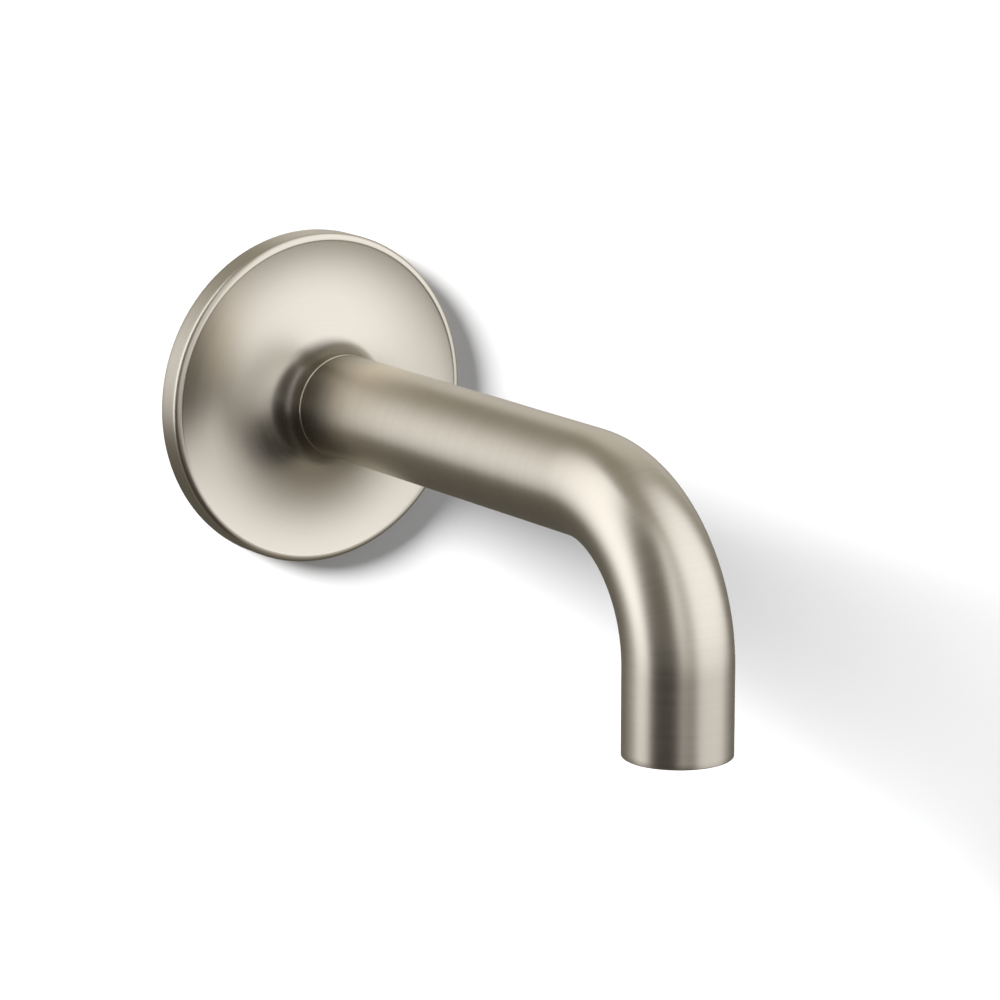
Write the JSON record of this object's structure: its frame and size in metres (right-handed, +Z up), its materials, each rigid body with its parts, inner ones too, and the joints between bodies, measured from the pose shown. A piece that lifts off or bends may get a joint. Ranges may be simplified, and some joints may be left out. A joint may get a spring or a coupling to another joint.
{
  "type": "wall mounted bath spout",
  "caption": "Wall mounted tubular bath spout: a bent round tube slides onto a supply adapter behind a round dished escutcheon.",
  "frame": {"origin": "centre of the escutcheon's back, in the plane of the finished wall, on the spout's supply axis", "axes": "+Y into the wall, so that the spout reaches out along -Y; +X across; +Z up"},
  "size_m": [0.1032, 0.2127, 0.1216],
  "materials": {
    "escutcheon": "satin brushed nickel plate",
    "spout_tube": "satin brushed nickel plate, brushed round the tube",
    "supply_adapter": "machined brass",
    "inlet_sleeve": "machined brass",
    "outlet_bushing": "machined brass",
    "set_screw": "bare stainless steel",
    "screens": "stainless wire mesh",
    "wall_gasket": "matt closed-cell foam",
    "o_rings": "matt black rubber",
    "cartridge_gasket": "matt black rubber",
    "cartridge_housing": "moulded grey acetal",
    "cartridge_core": "moulded white acetal"
  },
  "bodies": {
    "supply": {"supply_adapter": "supply_adapter", "adapter_o_ring_rear": "o_rings", "adapter_o_ring_front": "o_rings", "escutcheon_o_ring": "o_rings"},
    "escutcheon": {"escutcheon": "escutcheon", "wall_gasket": "wall_gasket"},
    "spout": {"spout_tube": "spout_tube", "inlet_sleeve": "inlet_sleeve", "outlet_bushing": "outlet_bushing", "cartridge_gasket": "cartridge_gasket"},
    "screw": {"set_screw": "set_screw"},
    "core": {"outlet_screen": "screens", "flow_straightener": "cartridge_core", "middle_screen": "screens", "spacer_ring": "cartridge_core", "diffuser_plate": "cartridge_core", "inlet_screen": "screens"},
    "housing": {"cartridge_housing": "cartridge_housing"}
  },
  "joints": [
    {"name": "spout_pull", "type": "slide", "parent": "supply", "child": "spout", "axis": [0, -1, 0], "range_m": [0, 0.04]},
    {"name": "escutcheon_turn", "type": "hinge", "parent": "supply", "child": "escutcheon", "pos_m": [0, 0, 0], "axis": [0, -1, 0], "continuous": true},
    {"name": "set_screw_back_out", "type": "slide", "parent": "spout", "child": "screw", "axis": [0, 0, -1], "range_m": [0, 0.003]},
    {"name": "cartridge_drop", "type": "slide", "parent": "spout", "child": "core", "axis": [0, 0, -1], "range_m": [0, 0.005]},
    {"name": "cartridge_turn", "type": "hinge", "parent": "core", "child": "housing", "pos_m": [0, -0.19685, -0.0687], "axis": [0, 0, -1], "range_deg": [0, 1800]}
  ],
  "couplings": [
    {"joint": "cartridge_drop", "follows": "cartridge_turn", "m_per_rad": 0.00015915}
  ]
}
